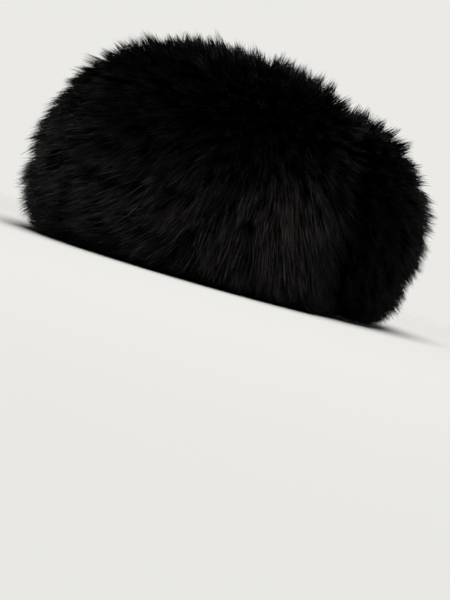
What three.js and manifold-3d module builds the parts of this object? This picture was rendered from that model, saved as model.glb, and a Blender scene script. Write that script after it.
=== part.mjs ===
// A black fur winter hat, worn low on the forehead, resting on its rim.
// A hollow leather cap takes the head. Two deep fur panels cover it: a large one round the front and
// sides, and a smaller one round the back. They meet in a furrow that runs up over the hat.
// Millimetres, +Z up, the wearer faces -Y, and the rim lies in the plane z = 0. The hat is built round the
// middle of its rim and then moved so that the middle of its own box stands on the origin.
import * as THREE from "three";
import { mergeVertices } from "three/addons/utils/BufferGeometryUtils.js";
import Module from "manifold-3d";

const { degToRad, lerp, seededRandom } = THREE.MathUtils;

// The leather cap: an oval dome with straight lower walls.
const CAP = {
  length: 195, // head opening, front to back, inside
  widthShare: 0.85, // head opening's width over its length
  depth: 118, // rim to the inside of the crown
  wall: 2.5,
  squareness: 2.6, // superellipse exponent of the dome's side view
  sides: 40,
  steps: 8,
};
const SEAT_GAP = 0.4; // between the cap and the back of the fur

// The fur's outer form, measured from the middle of the rim.
const FUR = {
  belly: 62, // height where it stands out furthest
  crown: 160, // height at the middle of the top
  forwardRise: 0.06, // how much the top rises towards the front, as a share over one reach
  topSquareness: 2.45,
  undersideSquareness: 2.2,
  flatShare: 0.375, // share of the lower half that lies flat under the rim
  overrun: 3, // how far the form reaches below the ground before it is cut off level
  sides: 44,
  steps: 16,
};

// Plan outline of the fur from front to back, the same on both sides.
// turn: degrees from the front. reach: widest radius. foot: radius where it meets the ground.
const OUTLINE = [
  { turn: 0, reach: 148, foot: 119 },
  { turn: 50, reach: 145, foot: 113 },
  { turn: 90, reach: 137, foot: 104 },
  { turn: 135, reach: 141, foot: 110 },
  { turn: 180, reach: 138, foot: 114 },
];

// The furrow between the two panels: a curved surface, furthest forward at half height.
const FURROW = {
  waistBack: 12, // how far behind the middle it lies at its waist
  waistHeight: 90,
  sweepBelow: 28, // how much further back it lies one half height below its waist
  sweepAbove: 52, // and above it
  halfHeight: 80,
  depth: 17, // how deep the fur dips there
  halfWidth: 17,
  lockFree: 8.5, // no lock comes out nearer than this
  parting: 0.5, // clearance between the two panels
  cutFrom: -60, // heights between which the panels are cut apart
  cutTo: 200,
  cutSteps: 10,
};

// Rows of fur locks from the rim to the crown, measured over the fur's surface.
// latitude: where the lock comes out, 0 at the belly and 90 at the crown. drop: degrees from there to its
// tip, along the fur's lie. stand: how far the tip stands off.
const LOCK_ROWS = [
  { latitude: -14, count: 24, drop: 32, width: 40, stand: 11 },
  { latitude: 5, count: 25, drop: 27, width: 42, stand: 13 },
  { latitude: 24, count: 25, drop: 25, width: 44, stand: 14 },
  { latitude: 42, count: 22, drop: 23, width: 44, stand: 14 },
  { latitude: 59, count: 17, drop: 21, width: 44, stand: 14 },
  { latitude: 74, count: 11, drop: 19, width: 44, stand: 14 },
  { latitude: 86, count: 5, drop: 16, width: 42, stand: 15 },
];
const LOCK = {
  sides: 5,
  steps: 3,
  flatness: 0.42, // thickness over width
  fullness: 0.8, // below 1 the lock keeps its width longer before it runs out to its tip
  sink: 12, // how deep its root starts under the fur's surface
  backing: 9, // how far up the lie its root starts, in degrees
  flare: 1.6, // above 1 the tip turns outward more than the root
  highest: 89, // latitude that no root passes, short of the crown itself
  variation: 0.34, // spread of length, width and place
  rowStray: 20, // degrees of latitude over which that spread moves a lock out of its row
  seed: 1,
};

const BIG = 600; // half size of the cutting blocks, larger than the hat
const TINY = 1e-6;

const wasm = await Module();
wasm.setup();

// A closed three.js geometry as a solid that can be joined and cut.
function solidOf(geometry) {
  const bare = new THREE.BufferGeometry();
  bare.setAttribute("position", geometry.getAttribute("position"));
  bare.setIndex(geometry.getIndex());
  const merged = mergeVertices(bare, 1e-3);
  return new wasm.Manifold(
    new wasm.Mesh({
      numProp: 3,
      vertProperties: merged.getAttribute("position").array,
      triVerts: new Uint32Array(merged.getIndex().array),
    }),
  );
}

// The triangles of a mesh's largest connected skin, which leaves out pockets shut in between locks.
function outerSkin(triVerts, vertexCount) {
  const owner = Uint32Array.from({ length: vertexCount }, (_, i) => i);
  const find = (i) => {
    while (owner[i] !== i) {
      owner[i] = owner[owner[i]];
      i = owner[i];
    }
    return i;
  };
  for (let i = 0; i < triVerts.length; i += 3) {
    owner[find(triVerts[i])] = find(triVerts[i + 1]);
    owner[find(triVerts[i + 1])] = find(triVerts[i + 2]);
  }
  const sizes = new Map();
  triVerts.forEach((v) => sizes.set(find(v), (sizes.get(find(v)) ?? 0) + 1));
  const [largest] = [...sizes].sort((a, b) => b[1] - a[1])[0];
  return triVerts.filter((_, i) => find(triVerts[i - (i % 3)]) === largest);
}

function meshOf(solid, name, material) {
  const { vertProperties, triVerts } = solid.getMesh();
  const skin = outerSkin(triVerts, vertProperties.length / 3);
  const geometry = new THREE.BufferGeometry();
  geometry.setAttribute("position", new THREE.BufferAttribute(vertProperties, 3));
  geometry.setIndex(new THREE.BufferAttribute(skin, 1));
  geometry.computeVertexNormals();
  const mesh = new THREE.Mesh(geometry, material);
  mesh.name = name;
  return mesh;
}

// Moves every vertex of a geometry to where a function of its old place says.
function reshape(geometry, place) {
  const position = geometry.getAttribute("position");
  const point = new THREE.Vector3();
  for (let i = 0; i < position.count; i++) {
    point.fromBufferAttribute(position, i);
    position.setXYZ(i, ...place(point).toArray());
  }
  return geometry;
}

// Points up one side of a dome, from the rim to the axis.
function domeSide(radius, height) {
  return Array.from({ length: CAP.steps + 1 }, (_, i) => {
    const angle = (i / CAP.steps) * (Math.PI / 2);
    const power = 2 / CAP.squareness;
    const out = i === CAP.steps ? 0 : radius * Math.cos(angle) ** power;
    return new THREE.Vector2(out, height * Math.sin(angle) ** power);
  });
}

// A profile turned round the hat's axis and narrowed to the head's oval.
function ovalLathe(profile) {
  return new THREE.LatheGeometry(profile, CAP.sides).rotateX(Math.PI / 2).scale(CAP.widthShare, 1, 1);
}

function leatherCap() {
  const inside = domeSide(CAP.length / 2, CAP.depth);
  const outside = domeSide(CAP.length / 2 + CAP.wall, CAP.depth + CAP.wall);
  return solidOf(ovalLathe([...inside.reverse(), ...outside]));
}

// The room that the fur leaves for the cap, open below the rim.
function capRoom() {
  const clear = CAP.wall + SEAT_GAP;
  const side = domeSide(CAP.length / 2 + clear, CAP.depth + clear);
  const below = [new THREE.Vector2(0, -BIG), new THREE.Vector2(side[0].x, -BIG)];
  return solidOf(ovalLathe([...below, ...side]));
}

// One column of the outline table at any turn, eased from row to row.
function outlineAt(turn, column) {
  const degrees = Math.abs(THREE.MathUtils.radToDeg(turn));
  const last = OUTLINE.findIndex((row) => row.turn >= degrees);
  const to = OUTLINE[last < 0 ? OUTLINE.length - 1 : Math.max(last, 1)];
  const from = OUTLINE[OUTLINE.indexOf(to) - 1];
  const share = THREE.MathUtils.smoothstep(degrees, from.turn, to.turn);
  return lerp(from[column], to[column], share);
}

// How far behind the middle the furrow lies at a height.
function furrowBack(height) {
  const offset = (height - FURROW.waistHeight) / FURROW.halfHeight;
  const sweep = offset < 0 ? FURROW.sweepBelow : FURROW.sweepAbove;
  return FURROW.waistBack + sweep * offset * offset;
}

// A point of the fur's outer surface. turn: from the front towards the wearer's left. latitude: -90 to 90.
function furPoint(turn, latitude) {
  const reach = outlineAt(turn, "reach");
  const foot = outlineAt(turn, "foot");
  let out;
  let height;
  if (latitude >= 0) {
    const power = 2 / FUR.topSquareness;
    out = reach * Math.max(Math.cos(degToRad(latitude)), 0) ** power;
    height = lerp(FUR.belly, FUR.crown, Math.sin(degToRad(latitude)) ** power);
    height *= 1 + (FUR.forwardRise * Math.cos(turn) * out) / reach;
  } else {
    const curved = 1 - FUR.flatShare;
    const down = -latitude / 90;
    const angle = (Math.min(down / curved, 1) * Math.PI) / 2;
    const power = 2 / FUR.undersideSquareness;
    out = lerp(foot, reach, Math.max(Math.cos(angle), 0) ** power);
    out *= 1 - Math.max(down - curved, 0) / FUR.flatShare;
    height = lerp(FUR.belly, -FUR.overrun, Math.sin(angle) ** power);
  }
  const point = new THREE.Vector3(out * Math.sin(turn), -out * Math.cos(turn), height);
  return latitude <= -90 * (1 - FUR.flatShare) ? point : dipIntoFurrow(point);
}

// Draws a point of the fur in towards the middle where the panels meet.
function dipIntoFurrow(point) {
  const across = (point.y - furrowBack(point.z)) / FURROW.halfWidth;
  const dip = FURROW.depth * Math.exp(-across * across);
  const inward = new THREE.Vector3(0, point.y, FUR.belly).sub(point).normalize();
  return point.addScaledVector(inward, dip);
}

function furForm() {
  const ball = new THREE.SphereGeometry(1, FUR.sides, FUR.steps);
  return solidOf(
    reshape(ball.rotateX(Math.PI / 2), (unit) => {
      const latitude = THREE.MathUtils.radToDeg(Math.asin(THREE.MathUtils.clamp(unit.z, -1, 1)));
      return furPoint(Math.atan2(unit.x, -unit.y), latitude);
    }),
  );
}

// Outward and sideways directions at a place on the fur's surface.
function furDirections(turn, latitude) {
  const step = 1;
  const lie = furPoint(turn, latitude - step).sub(furPoint(turn, latitude + step)).normalize();
  const aside = furPoint(turn + degToRad(step), latitude).sub(furPoint(turn - degToRad(step), latitude));
  aside.normalize();
  return { outward: lie.cross(aside).normalize(), aside };
}

// One lock: a flat cone bent from its sunken root, out of the fur and over along its lie.
function furLock(row, turn, latitude, size) {
  const { aside } = furDirections(turn, latitude - row.drop / 2);
  const stations = Array.from({ length: LOCK.steps + 1 }, (_, i) => {
    const share = i / LOCK.steps;
    const there = lerp(latitude + LOCK.backing, latitude - row.drop * size, share);
    const place = Math.min(there, LOCK.highest);
    const off = lerp(-LOCK.sink, row.stand * size, share ** LOCK.flare);
    return furPoint(turn, place).addScaledVector(furDirections(turn, place).outward, off);
  });
  const spine = new THREE.CatmullRomCurve3(stations);
  const cone = new THREE.ConeGeometry(1, 1, LOCK.sides, LOCK.steps);
  return solidOf(
    reshape(cone, (unit) => {
      const along = unit.y + 0.5;
      const thick = aside.clone().cross(spine.getTangent(along)).normalize();
      const half = (row.width / 2) * size * Math.max(1 - along, TINY) ** (LOCK.fullness - 1);
      return spine
        .getPoint(along)
        .addScaledVector(aside, unit.x * half)
        .addScaledVector(thick, unit.z * half * LOCK.flatness);
    }),
  );
}

// All locks that come out on one side of the furrow: -1 for the front panel, 1 for the back one.
function furLocks(side) {
  const locks = [];
  seededRandom(LOCK.seed);
  const stray = () => (seededRandom() - 0.5) * LOCK.variation;
  LOCK_ROWS.forEach((row, r) => {
    const shift = (r % 2) / 2; // every other row is staggered
    for (let i = 0; i < row.count; i++) {
      const turn = ((i + shift + stray()) / row.count) * 2 * Math.PI - Math.PI;
      const latitude = row.latitude + LOCK.rowStray * stray();
      const size = 1 + stray();
      const root = furPoint(turn, latitude);
      const behind = (root.y - furrowBack(root.z)) * side;
      if (behind > FURROW.lockFree) locks.push(furLock(row, turn, latitude, size));
    }
  });
  return locks;
}

// A block that covers everything behind the furrow, drawn back by a clearance.
function behindFurrow(clearance) {
  const edge = Array.from({ length: FURROW.cutSteps + 1 }, (_, i) => {
    const height = lerp(FURROW.cutFrom, FURROW.cutTo, i / FURROW.cutSteps);
    return new THREE.Vector2(furrowBack(height) + clearance, height);
  });
  const outline = new THREE.Shape([
    ...edge,
    new THREE.Vector2(BIG, FURROW.cutTo),
    new THREE.Vector2(BIG, FURROW.cutFrom),
  ]);
  const block = new THREE.ExtrudeGeometry(outline, { depth: BIG * 2, bevelEnabled: false });
  block.translate(0, 0, -BIG);
  const place = (p) => new THREE.Vector3(p.z, p.x, p.y);
  return solidOf(reshape(block, place));
}

function belowGround() {
  return solidOf(new THREE.BoxGeometry(BIG * 2, BIG * 2, BIG).translate(0, 0, -BIG / 2));
}

// One fur panel: its share of the fur form with its locks fused on, cut to its edges.
function furPanel(side) {
  const back = behindFurrow((side * FURROW.parting) / 2);
  const trim = (solid) => (side > 0 ? solid.intersect(back) : solid.subtract(back));
  let panel = furForm();
  for (const lock of furLocks(side)) panel = panel.add(lock);
  return trim(panel).subtract(capRoom()).subtract(belowGround());
}

const FUR_BLACK = new THREE.MeshStandardMaterial({ color: 0x0b0a0a, roughness: 0.55, metalness: 0 });
const LEATHER_BLACK = new THREE.MeshStandardMaterial({ color: 0x1a1817, roughness: 0.7, metalness: 0 });

const hat = new THREE.Group();
hat.name = "fur_hat";
hat.add(meshOf(leatherCap(), "leather_cap", LEATHER_BLACK));
hat.add(meshOf(furPanel(-1), "front_fur", FUR_BLACK));
hat.add(meshOf(furPanel(1), "back_fur", FUR_BLACK.clone()));

const middle = new THREE.Box3().setFromObject(hat).getCenter(new THREE.Vector3());
hat.position.set(-middle.x, -middle.y, 0);

export default hat;
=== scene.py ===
import math

import bmesh
import bpy
import numpy as np
from mathutils import Matrix, Vector


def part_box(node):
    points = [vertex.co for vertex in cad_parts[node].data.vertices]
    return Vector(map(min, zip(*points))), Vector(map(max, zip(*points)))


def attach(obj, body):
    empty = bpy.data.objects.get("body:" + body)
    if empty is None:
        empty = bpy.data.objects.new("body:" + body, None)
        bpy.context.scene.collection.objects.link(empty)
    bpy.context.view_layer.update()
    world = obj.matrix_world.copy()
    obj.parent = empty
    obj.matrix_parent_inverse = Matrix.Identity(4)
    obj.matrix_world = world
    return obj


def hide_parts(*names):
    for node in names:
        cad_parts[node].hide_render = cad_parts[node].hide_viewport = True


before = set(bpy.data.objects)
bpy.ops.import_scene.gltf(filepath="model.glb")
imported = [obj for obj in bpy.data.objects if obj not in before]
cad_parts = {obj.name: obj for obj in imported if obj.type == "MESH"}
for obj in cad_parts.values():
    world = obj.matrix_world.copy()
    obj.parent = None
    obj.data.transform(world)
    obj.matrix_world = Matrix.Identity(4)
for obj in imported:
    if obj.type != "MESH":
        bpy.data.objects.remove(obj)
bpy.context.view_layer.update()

rng = np.random.default_rng(7)
scene = bpy.context.scene
scene.view_settings.view_transform = "Standard"

# Everything is placed from the middle of the head opening, on the ground
capLow, capHigh = (np.array(corner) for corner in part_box("leather_cap"))
rimMiddle = (capLow + capHigh) / 2 * (1, 1, 0)
capSquareness = 2.6  # of the cap's dome, 2 for a ball

# The form of the fur, the same as its solids have: metres, from the middle of the rim
furForm = {
    "belly": 0.062,  # height where it stands out furthest
    "crown": 0.160,
    "forwardRise": 0.06,  # the top rises towards the front, as a share over one reach
    "topSquareness": 2.45,
    "undersideSquareness": 2.2,
    "flatShare": 0.375,  # share of the lower half that lies under the rim
    "overrun": 0.003,
    "turn": (0, 50, 90, 135, 180),  # degrees from the front, the same on both sides
    "reach": (0.148, 0.145, 0.137, 0.141, 0.138),
    "foot": (0.119, 0.113, 0.104, 0.110, 0.114),
}

# The furrow between the front and the back panel
furrow = {
    "waistBack": 0.012,
    "waistHeight": 0.090,
    "sweepBelow": 0.028,
    "sweepAbove": 0.052,
    "halfHeight": 0.080,
    "depth": 0.017,
    "halfWidth": 0.017,
}


def unit(vectors):
    return vectors / np.maximum(np.linalg.norm(vectors, axis=-1, keepdims=True), 1e-9)


# 1 where there is no distance, and near 0 from two widths on
def bell(distance, width):
    return np.exp(-((distance / width) ** 2))


def outlineAt(column, turn):
    degrees = np.abs(np.degrees(turn))
    stops = np.array(furForm["turn"], float)
    sizes = np.array(furForm[column])
    after = np.clip(np.searchsorted(stops, degrees), 1, len(stops) - 1)
    share = np.clip((degrees - stops[after - 1]) / (stops[after] - stops[after - 1]), 0, 1)
    share = share * share * (3 - 2 * share)  # eased from stop to stop
    return sizes[after - 1] * (1 - share) + sizes[after] * share


def furrowBack(height):
    offset = (height - furrow["waistHeight"]) / furrow["halfHeight"]
    sweep = np.where(offset < 0, furrow["sweepBelow"], furrow["sweepAbove"])
    return furrow["waistBack"] + sweep * offset**2


# A point of the fur's form: turn in radians from the front to the wearer's left, latitude in degrees
def furPoint(turn, latitude, dipped=True):
    form = furForm
    reach, foot = outlineAt("reach", turn), outlineAt("foot", turn)
    up = np.radians(np.clip(latitude, 0, 90))
    topPower = 2 / form["topSquareness"]
    topOut = reach * np.maximum(np.cos(up), 0) ** topPower
    topHigh = form["belly"] + (form["crown"] - form["belly"]) * np.sin(up) ** topPower
    topHigh = topHigh * (1 + form["forwardRise"] * np.cos(turn) * topOut / reach)
    curved = 1 - form["flatShare"]
    down = np.clip(-latitude, 0, 90) / 90
    angle = np.minimum(down / curved, 1) * math.pi / 2
    lowPower = 2 / form["undersideSquareness"]
    lowOut = foot + (reach - foot) * np.maximum(np.cos(angle), 0) ** lowPower
    lowOut = lowOut * (1 - np.maximum(down - curved, 0) / form["flatShare"])
    lowHigh = form["belly"] - (form["belly"] + form["overrun"]) * np.sin(angle) ** lowPower
    out = np.where(latitude >= 0, topOut, lowOut)
    high = np.where(latitude >= 0, topHigh, lowHigh)
    point = np.stack([out * np.sin(turn), -out * np.cos(turn), high], axis=-1)
    if dipped:
        inward = unit(np.stack([-point[..., 0], 0 * high, form["belly"] - high], axis=-1))
        dip = furrow["depth"] * bell(point[..., 1] - furrowBack(high), furrow["halfWidth"])
        point = point + inward * dip[..., None]
    return point


# Directions on the form: straight out, along the lie from crown to rim, and sideways
def furAxes(turn, latitude):
    step = 1.5  # degrees
    swing = math.radians(step)
    above = np.minimum(latitude + step, 90)
    lie = unit(furPoint(turn, latitude - step, False) - furPoint(turn, above, False))
    aside = unit(furPoint(turn + swing, latitude, False) - furPoint(turn - swing, latitude, False))
    return unit(np.cross(lie, aside)), lie, aside


# Below 1 inside the leather cap, above 1 outside it
def capShare(point):
    halfWide, halfLong = (capHigh[:2] - capLow[:2]) / 2
    oval = np.hypot(point[..., 0] / halfWide, point[..., 1] / halfLong)
    return oval**capSquareness + np.maximum(point[..., 2] / capHigh[2], 0) ** capSquareness


def linearColour(hexColour):
    channels = [int(hexColour[i : i + 2], 16) / 255 for i in (1, 3, 5)]
    return [c / 12.92 if c <= 0.04045 else ((c + 0.055) / 1.055) ** 2.4 for c in channels] + [1.0]


def addNode(tree, kind, links=(), **settings):
    node = tree.nodes.new(kind)
    for name, value in settings.items():
        if name in node.inputs:
            node.inputs[name].default_value = value
        else:
            setattr(node, name, value)
    for socket, source in links:
        tree.links.new(source, node.inputs[socket])
    return node


def newMaterial(name):
    material = bpy.data.materials.new(name)
    material.use_nodes = True
    material.node_tree.nodes.clear()
    return material, material.node_tree


def keepPiece(mesh, name, material, slot, *nodes):
    piece = bpy.data.objects.new(name, mesh)
    scene.collection.objects.link(piece)
    mesh.materials.append(material)
    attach(piece, "root")
    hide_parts(*nodes)
    return piece


# Dyed black fur: smooth round hairs, near black, with a narrow grey gloss along the hair
frontLook = {
    "name": "black_fur",
    "deep": "#020202",
    "plain": "#0e0d0d",
    "pale": "#5a5353",
    "plainTone": 0.6,  # between deep at 0 and pale at 1
    "roughness": 0.36,
    "ior": 1.5,
    "specular": 0.19,
}

# The same fur in the back panel, its colours painted darker as painted shade, and duller, so that it hardly
# shines
backLook = {
    "name": "shaded_black_fur",
    "deep": "#010101",
    "plain": "#030303",
    "pale": "#0d0b0b",
    "plainTone": 0.6,
    "roughness": 0.45,
    "ior": 1.5,
    "specular": 0.13,
}

# The matt underwool that shows as black between the hairs
woolLook = {
    "name": "black_underwool",
    "deep": "#020202",
    "plain": "#0f0e0e",
    "pale": "#1a1818",
    "plainTone": 0.6,
    "roughness": 1.0,
    "ior": 1.5,
    "specular": 0.0,
}


def furMaterial(furLook):
    material, tree = newMaterial(furLook["name"])
    tone = addNode(tree, "ShaderNodeAttribute", attribute_name="hairTone")
    ramp = addNode(tree, "ShaderNodeValToRGB", [("Fac", tone.outputs["Fac"])])
    ramp.color_ramp.elements[0].color = linearColour(furLook["deep"])
    ramp.color_ramp.elements[1].color = linearColour(furLook["pale"])
    middle = ramp.color_ramp.elements.new(furLook["plainTone"])
    middle.color = linearColour(furLook["plain"])
    shader = addNode(
        tree,
        "ShaderNodeBsdfPrincipled",
        [("Base Color", ramp.outputs["Color"])],
        **{
            "Roughness": furLook["roughness"],
            "IOR": furLook["ior"],
            "Specular IOR Level": furLook["specular"],
        },
    )
    addNode(tree, "ShaderNodeOutputMaterial", [("Surface", shader.outputs["BSDF"])])
    return material


# Sueded leather: matt black skin side with a fine nap
leatherLook = {
    "dark": "#171413",
    "light": "#2a2523",
    "mottleSize": 0.012,
    "mottleDetail": 3.0,
    "napSize": 0.0006,  # metres between the nap's tufts
    "napDetail": 2.0,
    "napDepth": 0.00012,
    "napStrength": 0.6,
    "roughness": 0.82,
    "sheen": 0.2,
}


def leatherMaterial():
    look = leatherLook
    material, tree = newMaterial("sueded_leather")
    place = [("Vector", addNode(tree, "ShaderNodeTexCoord").outputs["Object"])]
    mottle = addNode(
        tree, "ShaderNodeTexNoise", place, Scale=1 / look["mottleSize"], Detail=look["mottleDetail"]
    )
    nap = addNode(tree, "ShaderNodeTexNoise", place, Scale=1 / look["napSize"], Detail=look["napDetail"])
    ramp = addNode(tree, "ShaderNodeValToRGB", [("Fac", mottle.outputs["Fac"])])
    ramp.color_ramp.elements[0].color = linearColour(look["dark"])
    ramp.color_ramp.elements[1].color = linearColour(look["light"])
    bump = addNode(
        tree,
        "ShaderNodeBump",
        [("Height", nap.outputs["Fac"])],
        Strength=look["napStrength"],
        Distance=look["napDepth"],
    )
    shader = addNode(
        tree,
        "ShaderNodeBsdfPrincipled",
        [("Base Color", ramp.outputs["Color"]), ("Normal", bump.outputs["Normal"])],
        **{"Roughness": look["roughness"], "Sheen Weight": look["sheen"]},
    )
    addNode(tree, "ShaderNodeOutputMaterial", [("Surface", shader.outputs["BSDF"])])
    return material


# The coat: clumps of hairs that stand out of the form, draw together at their tips and fall over
coat = {
    "clumpSpacing": 0.0072,
    "tuftSpacing": 0.017,  # clumps lean together in larger tufts
    "lowest": -54,  # latitudes between which the hair grows
    "highest": 88,
    "runSamples": 400,  # points that measure the way from rim to crown
    "ringSamples": 121,  # and the way round
    "fewestInRing": 3,
    "placeStray": 0.45,  # share of the spacing
    "latitudeStray": 1.2,  # degrees
    "rootDepth": 0.018,  # under the form
    "rootClearance": 1.2,  # roots stay outside the cap, above this capShare
    "rootShrink": 0.85,  # deeper ones are drawn out to this share of their depth
    "rootTries": 14,  # so many times at most
    "bendShare": 0.35,  # hairs stand straight for this share of their length, then fall over
    "outwardLatitude": 46,  # from the belly down to here the hair turns outward
    "outwardShare": 0.95,  # and loses this share of its way down
    "standLatitude": (-54, -20, 10, 35, 60, 90),
    "stand": (0.008, 0.012, 0.013, 0.006, 0.009, 0.012),  # tips over the form at those latitudes
    "standSpread": 0.0021,  # from clump to clump
    "tuftSpread": 0.00168,  # from tuft to tuft
    "fallLatitude": (-54, -40, -20, 10, 35, 60, 90),
    "fall": (0.000, 0.010, 0.024, 0.034, 0.026, 0.006, 0.000),  # tips along the lie
    "browFall": (0.000, 0.000, 0.004, 0.014, 0.022, 0.006, 0.000),  # the same at the front
    "browTurn": (10, 65),  # degrees from the front between which one passes into the other
    "backFall": 0.4,  # share of that fall in the back panel
    "combTurn": (0, 22, 45, 75),
    "comb": (0.000, 0.012, 0.010, 0.000),  # tips towards the front at those turns
    "stray": 0.0028,
    "tuftStray": 0.0030,
    "rootSpread": 0.0052,
    "tipSpread": 0.0017,
    "tipStray": 0.0006,
    "looseSpread": 0.0058,  # some hairs fill the gaps between the clumps
    "looseLatitude": (10, 35),
    "looseShare": (0.75, 0.25),  # at those latitudes
    "frontLean": 0.008,  # tips in front of the furrow lean towards the back
    "leanWidth": 0.030,
    "backLean": -0.012,  # tips behind it towards the front
    "backLeanFade": 0.06,
    "seamStray": 0.003,  # locks of one panel stray into the other
    "behindDip": 0.003,  # the back panel lies lower beside the furrow
    "frontDip": 0.004,  # and the front panel at its top
    "frontDipLatitude": (30, 55),
    "backStandLatitude": (0, 30, 60, 80),
    "backStand": (-0.004, -0.001, 0.002, 0.000),  # the back is rounder away from the furrow
    "browDip": 0.0075,  # the front lies lower over the brow
    "browLatitude": 22,
    "browHeight": 23,
    "browWidth": 1.1,  # radians
    "groundSoftness": 0.006,  # hair within this height bends along the ground
}

# Share of grey in the hair, from 0 for the deep colour to 1 for the pale one; beside the random tone it
# holds painted light and shade
furTone = {
    "spread": (0.7, 1.25),  # from clump to clump
    "latitude": (-54, -4, 8, 20, 32, 90),
    "pale": (0.75, 1.05, 0.75, 0.17, 0.10, 0.08),  # painted light and shade at those latitudes: a lit grey lower band, a shaded dark top
    "browPale": 0.75,  # share of that over the brow
    "highlightLatitude": 12,  # a painted highlight on the front fur beside the furrow
    "highlightHeight": 13,
    "highlightAhead": 0.045,
    "highlightWidth": 0.021,
    "highlightTone": 1.2,
    "footPaintHeight": (0.055, 0.088),  # painted shade darkens the front fur at the foot of the furrow up to these heights; the same mask paints light on the back fur there
    "footPaintWidth": 0.028,
    "paintedLipHeight": (0.085, 0.115),  # painted light makes the lips of the furrow paler above these heights
    "paintedLipWidth": 0.030,
    "paintedLipTone": 0.25,
    "streakLeast": 0.25,  # a few pale hairs among many dark ones
    "streakRange": 1.05,
    "streakPower": 3,
}

# Short dense hairs that fill the coat, and the longer ones that make its points
woolHair = {
    "perClump": 19,
    "rings": (0, 0.68),  # shares of the length
    "thick": 0.00060,
    "taper": 0.15,
    "shortest": 0.88,
    "longest": 1.0,
    "tone": 0.9,
}
guardHair = {
    "perClump": 5,
    "rings": (0, 0.5, 0.8),
    "thick": 0.00050,
    "taper": 0.15,
    "shortest": 0.94,
    "longest": 1.03,
    "tone": 1.5,
}
hairSides = 3
mapMargin = 0.1  # round each hair in its cell of the map


# Turns and latitudes of places about one spacing apart, all over the form
def clumpSpots(spacing):
    lowest, highest, samples = coat["lowest"], coat["highest"], coat["ringSamples"]
    fine = np.linspace(lowest, highest, coat["runSamples"])
    side = furPoint(np.full(len(fine), math.pi / 2), fine, False)
    run = np.concatenate([[0], np.cumsum(np.linalg.norm(np.diff(side, axis=0), axis=1))])
    stray, tilt = coat["placeStray"], coat["latitudeStray"]
    turns, latitudes = [], []
    for latitude in np.interp(np.arange(spacing / 2, run[-1], spacing), run, fine):
        ring = furPoint(np.linspace(-math.pi, math.pi, samples), np.full(samples, latitude), False)
        around = np.linalg.norm(np.diff(ring, axis=0), axis=1).sum()
        count = max(coat["fewestInRing"], round(around / spacing))
        places = (np.arange(count) + rng.uniform(0, 1) + rng.uniform(-stray, stray, count)) / count
        turns.append((places % 1) * 2 * math.pi - math.pi)
        latitudes.append(np.full(count, latitude) + rng.uniform(-tilt, tilt, count))
    return np.concatenate(turns), np.clip(np.concatenate(latitudes), lowest, highest)


def browDip(turn, latitude):
    high = bell(latitude - coat["browLatitude"], coat["browHeight"])
    return coat["browDip"] * high * bell(turn, coat["browWidth"])


# How the tuft that each clump belongs to leans and stands out
def leanTufts(spot):
    turn, latitude = clumpSpots(coat["tuftSpacing"])
    middle = furPoint(turn, latitude)
    nearest = ((spot[:, None] - middle[None]) ** 2).sum(axis=2).argmin(axis=1)
    lean = rng.normal(0, coat["tuftStray"], (len(turn), 2))
    stand = rng.normal(0, coat["tuftSpread"], len(turn))
    return lean[nearest], stand[nearest]


# Height of the clumps' tips over the form
def tipStand(turn, latitude, front, nearFurrow):
    stand = np.interp(latitude, coat["standLatitude"], coat["stand"])
    stand = stand + rng.normal(0, coat["standSpread"], len(turn))
    frontDip = coat["frontDip"] * np.interp(latitude, coat["frontDipLatitude"], (0, 1))
    backStand = np.interp(latitude, coat["backStandLatitude"], coat["backStand"])
    backStand = backStand * (1 - nearFurrow) - coat["behindDip"] * nearFurrow
    stand = stand + np.where(front, -frontDip * nearFurrow, backStand)
    return stand - browDip(turn, latitude)


def clumpTone(latitude, height, behind, front, atSide):
    tone = rng.uniform(*furTone["spread"], len(latitude))
    # painted light and shade by latitude: paler low down where the light falls, darker on the shaded top
    tone = tone * np.interp(latitude, furTone["latitude"], furTone["pale"])
    # painted highlight on the front panel, beside the furrow at the belly
    paintedHighlight = bell(latitude - furTone["highlightLatitude"], furTone["highlightHeight"])
    paintedHighlight = paintedHighlight * bell(behind + furTone["highlightAhead"], furTone["highlightWidth"])
    # painted shade at the furrow's foot for the front panel, painted light there for the back panel
    footShadeAndLight = np.interp(height, furTone["footPaintHeight"], (1, 0)) * bell(behind, furTone["footPaintWidth"])
    # painted light on the lips of the furrow, high up
    paintedLip = np.interp(height, furTone["paintedLipHeight"], (0, 1)) * bell(behind, furTone["paintedLipWidth"])
    tone = tone * (furTone["browPale"] + (1 - furTone["browPale"]) * atSide) + furTone["paintedLipTone"] * paintedLip
    # front: painted highlight and painted shade; back: painted light at the furrow's foot
    return np.where(front, (tone + furTone["highlightTone"] * paintedHighlight) * (1 - footShadeAndLight), tone + footShadeAndLight)


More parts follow.
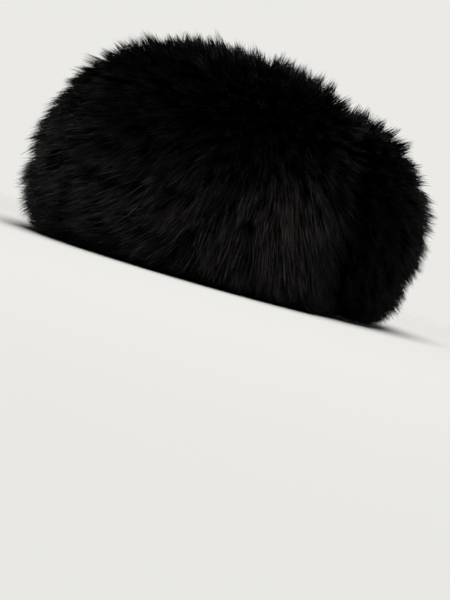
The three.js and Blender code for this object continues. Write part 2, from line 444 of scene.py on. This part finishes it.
# Where each clump starts, bends and ends, in metres from the middle of the rim
def layClumps():
    turn, latitude = clumpSpots(coat["clumpSpacing"])
    count = len(turn)
    spot = furPoint(turn, latitude)
    outward, lie, aside = furAxes(turn, latitude)
    low = np.clip(-latitude / coat["outwardLatitude"], 0, 1)[:, None]
    outward = unit(outward - outward * (0, 0, coat["outwardShare"]) * low)
    tuftLean, tuftStand = leanTufts(spot)
    behind = spot[:, 1] - furrowBack(spot[:, 2])
    front = behind < rng.normal(0, coat["seamStray"], count)
    nearFurrow = bell(behind, coat["leanWidth"])
    fromFront = np.abs(np.degrees(turn))
    atSide = np.interp(fromFront, coat["browTurn"], (0, 1))
    sideFall = np.interp(latitude, coat["fallLatitude"], coat["fall"])
    browFall = np.interp(latitude, coat["fallLatitude"], coat["browFall"])
    fall = atSide * sideFall + (1 - atSide) * browFall
    fall = np.where(front, fall, fall * coat["backFall"])
    stand = tipStand(turn, latitude, front, nearFurrow) + tuftStand
    tone = clumpTone(latitude, spot[:, 2], behind, front, atSide)
    depth = np.full(count, coat["rootDepth"])
    for _ in range(coat["rootTries"]):
        tooDeep = capShare(spot - outward * depth[:, None]) < coat["rootClearance"]
        depth = np.where(tooDeep, depth * coat["rootShrink"], depth)
    root = spot - outward * depth[:, None]
    along = fall + tuftLean[:, 0] + rng.normal(0, coat["stray"], count)
    comb = np.interp(fromFront, coat["combTurn"], coat["comb"])
    sway = tuftLean[:, 1] + rng.normal(0, coat["stray"], count) - np.sign(turn) * comb
    tip = spot + outward * stand[:, None] + lie * along[:, None] + aside * sway[:, None]
    onSide = np.cos(np.radians(latitude)) ** 2
    backLean = coat["backLean"] * np.exp(-behind / coat["backLeanFade"]) * onSide
    tip[:, 1] += np.where(front, coat["frontLean"] * nearFurrow, backLean)
    return {
        "turn": turn,
        "front": front,
        "root": root,
        "bend": root + outward * (coat["bendShare"] * (depth + stand))[:, None],
        "tip": tip,
        "lie": lie,
        "aside": aside,
        "tone": tone,
        "looseShare": np.interp(latitude, coat["looseLatitude"], coat["looseShare"]),
    }


# Points of every hair of some clumps: one row for each hair, one column for each ring and the tip
def growHairs(clumps, hair):
    each = hair["perClump"]
    total = len(clumps["tone"]) * each
    spin = rng.uniform(0, 2 * math.pi, total)
    off = np.sqrt(rng.uniform(0, 1, total))
    near = clumps["aside"].repeat(each, 0) * (np.cos(spin) * off)[:, None]
    near = near + clumps["lie"].repeat(each, 0) * (np.sin(spin) * off)[:, None]
    looseShare = clumps["looseShare"].repeat(each)
    loose = np.where(rng.uniform(0, 1, total) < looseShare, coat["looseSpread"], coat["tipSpread"])
    root = clumps["root"].repeat(each, 0) + near * coat["rootSpread"]
    bend = clumps["bend"].repeat(each, 0) + near * coat["rootSpread"]
    tip = clumps["tip"].repeat(each, 0) + near * loose[:, None]
    tip = tip + rng.normal(0, coat["tipStray"], (total, 3))
    ends = rng.uniform(hair["shortest"], hair["longest"], total)
    share = (np.array([*hair["rings"], 1.0])[None] * ends[:, None])[..., None]
    rest = 1 - share
    points = root[:, None] * rest**2 + bend[:, None] * 2 * share * rest + tip[:, None] * share**2
    soft = coat["groundSoftness"]
    high = points[..., 2]
    points[..., 2] = np.where(high < soft, soft * np.exp(np.minimum(high - soft, 0) / soft), high)
    streak = rng.uniform(0, 1, total) ** furTone["streakPower"]
    streak = furTone["streakLeast"] + furTone["streakRange"] * streak
    tone = np.clip(clumps["tone"].repeat(each) * hair["tone"] * streak, 0, 1)
    return points, tone


# Closed hairs with pointed tips, from their points
def hairArrays(points, tone, hair, mapGrid, mapStart):
    total, columns = points.shape[:2]
    rings = columns - 1
    direction = unit(np.gradient(points, axis=1))
    across = unit(np.cross(direction, rng.normal(0, 1, (total, 1, 3))))
    over = np.cross(direction, across)
    width = hair["thick"] / 2 * (1 - hair["taper"] * np.linspace(0, 1, rings))
    corners = []
    for side in range(hairSides):
        angle = side * 2 * math.pi / hairSides
        reach = across[:, :rings] * math.cos(angle) + over[:, :rings] * math.sin(angle)
        corners.append(points[:, :rings] + reach * width[None, :, None])
    tube = np.stack(corners, axis=2).reshape(total, rings * hairSides, 3)
    vertices = np.concatenate([tube, points[:, rings:]], axis=1)
    faces = [tuple(reversed(range(hairSides)))]  # the root end
    maps = [tuple((side / (hairSides - 1), 0.0) for side in range(hairSides))]
    for ring in range(rings):
        for side in range(hairSides):
            following = (side + 1) % hairSides
            left, right = side / hairSides, (side + 1) / hairSides
            low, high = ring / rings, (ring + 1) / rings
            here = ring * hairSides
            above = here + hairSides
            if ring < rings - 1:
                faces.append((here + side, here + following, above + following, above + side))
                maps.append(((left, low), (right, low), (right, high), (left, high)))
            else:
                faces.append((here + side, here + following, above))
                maps.append(((left, low), (right, low), ((left + right) / 2, high)))
    size = rings * hairSides + 1
    pattern = np.array([corner for face in faces for corner in face])
    loops = (pattern[None] + np.arange(total)[:, None] * size).reshape(-1)
    counts = np.tile(np.array([len(face) for face in faces]), total)
    inCell = np.array([corner for face in maps for corner in face]) * (1 - 2 * mapMargin) + mapMargin
    cell = np.arange(mapStart, mapStart + total)
    cell = np.stack([cell % mapGrid, cell // mapGrid], axis=1)
    uv = ((cell[:, None] + inCell[None]) / mapGrid).reshape(-1, 2)
    return vertices.reshape(-1, 3), loops, counts, np.repeat(tone, size), uv


def hairMesh(name, coats):
    hairs = sum(len(points) for points, _, _ in coats)
    mapGrid = math.ceil(math.sqrt(hairs))
    parts, mapStart, vertexStart = [], 0, 0
    for points, tone, hair in coats:
        vertices, loops, counts, tones, uv = hairArrays(points, tone, hair, mapGrid, mapStart)
        parts.append((vertices, loops + vertexStart, counts, tones, uv))
        mapStart += len(points)
        vertexStart += len(vertices)
    vertices, loops, counts, tones, uv = (np.concatenate(column) for column in zip(*parts))
    mesh = bpy.data.meshes.new(name)
    mesh.vertices.add(len(vertices))
    mesh.vertices.foreach_set("co", (vertices + rimMiddle).astype(np.float32).ravel())
    mesh.loops.add(len(loops))
    mesh.loops.foreach_set("vertex_index", loops.astype(np.int32))
    mesh.polygons.add(len(counts))
    mesh.polygons.foreach_set("loop_start", (np.cumsum(counts) - counts).astype(np.int32))
    mesh.polygons.foreach_set("use_smooth", np.ones(len(counts), bool))
    mesh.update(calc_edges=True)
    mesh.attributes.new("hairTone", "FLOAT", "POINT").data.foreach_set("value", tones.astype(np.float32))
    mesh.uv_layers.new(name="OFBake").data.foreach_set("uv", uv.astype(np.float32).ravel())
    print(f"{name}: {hairs} hairs, {(counts - 2).sum()} triangles")
    return mesh


# The dense underwool that closes the gaps between the hairs, a dome that is open for the cap
underwool = {
    "inset": 0.003,  # under the form
    "insetAtRim": 0.1,  # share of it at the rim
    "insetRise": 6,  # and how fast it grows upward
    "rimHeight": 0.002,
    "capGap": 0.0012,
    "turnSteps": 96,
    "heightSteps": 40,
    "lowest": -52,
}


def underwoolMesh():
    form = bmesh.new()
    tone = form.verts.layers.float.new("hairTone")
    turnSteps, heightSteps = underwool["turnSteps"], underwool["heightSteps"]
    bmesh.ops.create_uvsphere(form, u_segments=turnSteps, v_segments=heightSteps, radius=1)
    everything = form.verts[:] + form.edges[:] + form.faces[:]
    bmesh.ops.bisect_plane(form, geom=everything, plane_co=(0, 0, 0), plane_no=(0, 0, -1), clear_outer=True)
    outer = form.verts[:]
    inner = bmesh.ops.duplicate(form, geom=form.verts[:] + form.edges[:] + form.faces[:])["geom"]
    inner = [item for item in inner if isinstance(item, bmesh.types.BMVert)]
    place = np.array([vertex.co for vertex in outer])
    turn = np.arctan2(place[:, 0], -place[:, 1])
    share = np.degrees(np.arcsin(np.clip(place[:, 2], 0, 1))) / 90
    latitude = underwool["lowest"] + (90 - underwool["lowest"]) * share
    outward = furAxes(turn, np.minimum(latitude, coat["highest"]))[0]
    inset = underwool["inset"] + browDip(turn, latitude)
    inset = inset * np.minimum(share * underwool["insetRise"] + underwool["insetAtRim"], 1)
    spot = furPoint(turn, latitude) - outward * inset[:, None]
    spot[:, 2] = np.maximum(spot[:, 2], underwool["rimHeight"])
    # painted light and shade on the underwool: grey in the lit lower band of the front, dark on the shaded
    # top, deepest colour all over the back panel
    pale = np.interp(latitude, furTone["latitude"], furTone["pale"])
    pale = np.where(spot[:, 1] < furrowBack(spot[:, 2]), pale, 0)
    for vertex, goal, grey in zip(outer, spot + rimMiddle, pale):
        vertex.co = goal
        vertex[tone] = grey
    half = (capHigh - capLow) / 2 + underwool["capGap"]
    power = 2 / capSquareness
    for vertex in inner:
        x, y, z = vertex.co
        level = math.hypot(x, y)
        out = level**power / max(level, 1e-6)
        high = max(z, 0) ** power * (capHigh[2] + underwool["capGap"])
        vertex.co = (x * out * half[0], y * out * half[1], max(high, underwool["rimHeight"]))
        vertex.co += Vector(rimMiddle)
    rims = [edge for edge in form.edges if edge.is_boundary]
    bmesh.ops.bridge_loops(form, edges=rims)
    bmesh.ops.recalc_face_normals(form, faces=form.faces[:])
    mesh = bpy.data.meshes.new("underwool")
    form.to_mesh(mesh)
    form.free()
    mesh.polygons.foreach_set("use_smooth", np.ones(len(mesh.polygons), bool))
    return mesh


furs = {"front_fur": furMaterial(frontLook), "back_fur": furMaterial(backLook)}
hat = [keepPiece(underwoolMesh(), "underwool", furMaterial(woolLook), "fur", "front_fur", "back_fur")]
print("underwool made")

clumps = layClumps()
panels = {
    "front_fur": ("front_fur_right", "front_fur_right_brow", "front_fur_left_brow", "front_fur_left"),
    "back_fur": ("back_fur_right", "back_fur_left"),
}
for node, names in panels.items():
    mine = np.flatnonzero(clumps["front"] == (node == "front_fur"))
    order = clumps["turn"][mine]
    if node == "back_fur":
        order = order % (2 * math.pi)  # one run round the back
    mine = mine[np.argsort(order)]
    for name, chosen in zip(names, np.array_split(mine, len(names))):
        some = {key: values[chosen] for key, values in clumps.items()}
        coats = [(*growHairs(some, hair), hair) for hair in (woolHair, guardHair)]
        hat.append(keepPiece(hairMesh(name, coats), name, furs[node], "fur", node))
print("coat made")

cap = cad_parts["leather_cap"]
cap.data.materials.clear()
cap.data.materials.append(leatherMaterial())
hat.append(cap)
print("cap finished")

# Pale seamless floor that fades into the pale surroundings
floorLook = {
    "colour": "#efeeea",
    "radius": 4.0,
    "edges": 64,
    "lit": (0.16, -0.34, 0),  # middle of the part that shows, metres
    "fadeFrom": 0.40,
    "fadeTo": 1.1,
    "roughness": 0.9,
    "specular": 0.1,
}


def makeFloor():
    form = bmesh.new()
    bmesh.ops.create_circle(form, cap_ends=True, segments=floorLook["edges"], radius=floorLook["radius"])
    mesh = bpy.data.meshes.new("floor")
    form.to_mesh(mesh)
    form.free()
    material, tree = newMaterial("seamless_paper")
    place = addNode(tree, "ShaderNodeTexCoord").outputs["Object"]
    far = addNode(tree, "ShaderNodeVectorMath", [(0, place)], operation="DISTANCE")
    far.inputs[1].default_value = floorLook["lit"]
    fade = addNode(
        tree,
        "ShaderNodeMapRange",
        [("Value", far.outputs["Value"])],
        interpolation_type="SMOOTHSTEP",
        **{
            "From Min": floorLook["fadeFrom"],
            "From Max": floorLook["fadeTo"],
            "To Min": 1.0,
            "To Max": 0.0,
        },
    )
    shader = addNode(
        tree,
        "ShaderNodeBsdfPrincipled",
        [("Alpha", fade.outputs["Result"])],
        **{
            "Base Color": linearColour(floorLook["colour"]),
            "Roughness": floorLook["roughness"],
            "Specular IOR Level": floorLook["specular"],
        },
    )
    addNode(tree, "ShaderNodeOutputMaterial", [("Surface", shader.outputs["BSDF"])])
    floor = bpy.data.objects.new("floor", mesh)
    scene.collection.objects.link(floor)
    mesh.materials.append(material)
    return floor


floor = makeFloor()
print("floor made")

# Soft studio light: a pale room and softboxes, placed round the hat by degrees from the wearer's front
studio = {
    "backdrop": "#ebeae6",
    "backdropLight": 1.0,
    "roomLight": 0.03,
    "softboxes": (
        {
            "name": "left_softbox",
            "azimuth": -72,
            "elevation": 14,
            "distance": 1.8,
            "size": 0.5,
            "power": 3.6,
            "lights": "hat",
        },
        {
            "name": "back_softbox",
            "azimuth": 180,
            "elevation": 38,
            "distance": 1.8,
            "size": 1.6,
            "power": 11.0,
            "lights": "hat",
        },
        {
            "name": "floor_softbox",
            "azimuth": 60,
            "elevation": 80,
            "distance": 2.4,
            "size": 2.4,
            "power": 72,
            "lights": "floor",
        },
    ),
}


def fromAngles(azimuth, elevation):
    turn, rise = math.radians(azimuth), math.radians(elevation)
    return Vector((math.sin(turn) * math.cos(rise), -math.cos(turn) * math.cos(rise), math.sin(rise)))


def lightStudio():
    world = bpy.data.worlds.new("studio")
    scene.world = world
    world.use_nodes = True
    tree = world.node_tree
    tree.nodes.clear()
    colour = linearColour(studio["backdrop"])
    room = addNode(tree, "ShaderNodeBackground", Color=colour, Strength=studio["roomLight"])
    backdrop = addNode(tree, "ShaderNodeBackground", Color=colour, Strength=studio["backdropLight"])
    path = addNode(tree, "ShaderNodeLightPath")
    mix = addNode(
        tree,
        "ShaderNodeMixShader",
        [(0, path.outputs["Is Camera Ray"]), (1, room.outputs[0]), (2, backdrop.outputs[0])],
    )
    addNode(tree, "ShaderNodeOutputWorld", [("Surface", mix.outputs[0])])
    aim = Vector(rimMiddle) + Vector((0, 0, furForm["belly"]))
    # The fur is lit from the pale floor, as its dark top shows, and only edged by its own softboxes
    receivers = {}
    for name, pieces in {"floor": [floor], "hat": hat}.items():
        receivers[name] = bpy.data.collections.new(f"{name}_only")
        for piece in pieces:
            receivers[name].objects.link(piece)
    for box in studio["softboxes"]:
        lamp = bpy.data.lights.new(box["name"], "AREA")
        lamp.shape = "DISK"
        lamp.size = box["size"]
        lamp.energy = box["power"]
        stand = bpy.data.objects.new(box["name"], lamp)
        stand.location = aim + fromAngles(box["azimuth"], box["elevation"]) * box["distance"]
        stand.rotation_euler = (aim - stand.location).to_track_quat("-Z", "Y").to_euler()
        stand.light_linking.receiver_collection = receivers[box["lights"]]
        scene.collection.objects.link(stand)


lightStudio()
print("studio lit")

# The camera looks from the wearer's front left, just above the floor, rolled to the photograph's angle
shot = {
    "azimuth": 60.8,
    "elevation": 3.0,
    "roll": 16.0,
    "lens": 100.0,
    "sensor": 36.0,
    "clipEnd": 50.0,
    "frame": (450, 600),  # pixels
    "scale": 1330.0,  # pixels per metre at the hat
    "rimAt": (212, 279),  # pixel where the middle of the rim shows
}


def placeCamera():
    camera = bpy.data.objects.new("camera", bpy.data.cameras.new("camera"))
    camera.data.lens = shot["lens"]
    camera.data.sensor_width = shot["sensor"]
    camera.data.clip_end = shot["clipEnd"]
    backward = fromAngles(shot["azimuth"], shot["elevation"])
    levelRight = Vector((0, 0, 1)).cross(backward).normalized()
    levelUp = backward.cross(levelRight)
    roll = math.radians(shot["roll"])
    right = levelRight * math.cos(roll) + levelUp * math.sin(roll)
    up = levelUp * math.cos(roll) - levelRight * math.sin(roll)
    wide, high = shot["frame"]
    distance = shot["lens"] / shot["sensor"] * high / shot["scale"]
    aside = (wide / 2 - shot["rimAt"][0]) / shot["scale"]
    below = (shot["rimAt"][1] - high / 2) / shot["scale"]
    place = Vector(rimMiddle) + backward * distance + right * aside + up * below
    turned = Matrix((right, up, backward)).transposed().to_4x4()
    camera.matrix_world = Matrix.Translation(place) @ turned
    scene.collection.objects.link(camera)
    scene.camera = camera
    print("camera", [round(value, 3) for value in place])


placeCamera()
